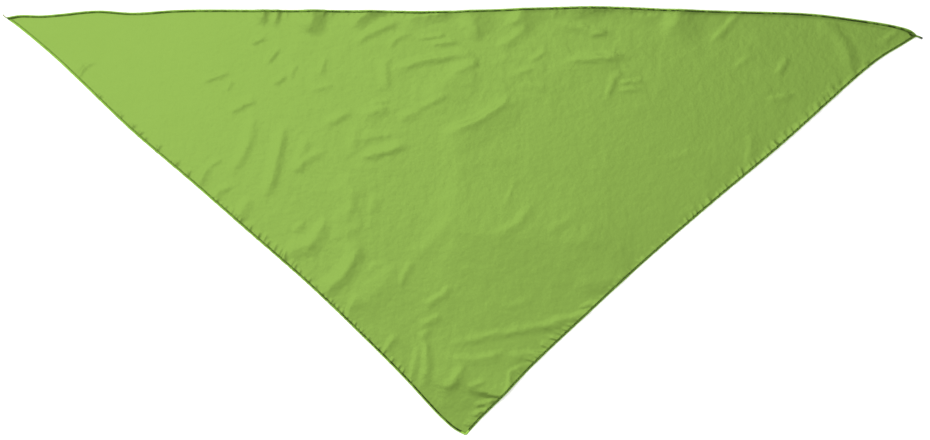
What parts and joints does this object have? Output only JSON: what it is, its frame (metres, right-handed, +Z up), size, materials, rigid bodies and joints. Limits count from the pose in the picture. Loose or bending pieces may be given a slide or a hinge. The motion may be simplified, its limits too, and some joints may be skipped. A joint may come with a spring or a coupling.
{
  "type": "triangular satin neckerchief",
  "caption": "Triangular neckerchief of green satin laid out flat, with low soft folds, narrow overlocked hems and short thread tails at both ends of the long edge.",
  "frame": {"origin": "under the middle of the whole piece, at the level of the surface that it lies on", "axes": "+X along the long edge from the left tip to the right tip, +Y from the lower corner towards the long edge, +Z up out of the cloth"},
  "size_m": [1.0088, 0.4702, 0.0077],
  "materials": {
    "satin": "satin",
    "overlocked_hem": "matte"
  },
  "bodies": {
    "root": {"cloth_panel": "satin", "hem_long_edge": "overlocked_hem", "hem_left_edge": "overlocked_hem", "hem_right_edge": "overlocked_hem"}
  },
  "joints": []
}
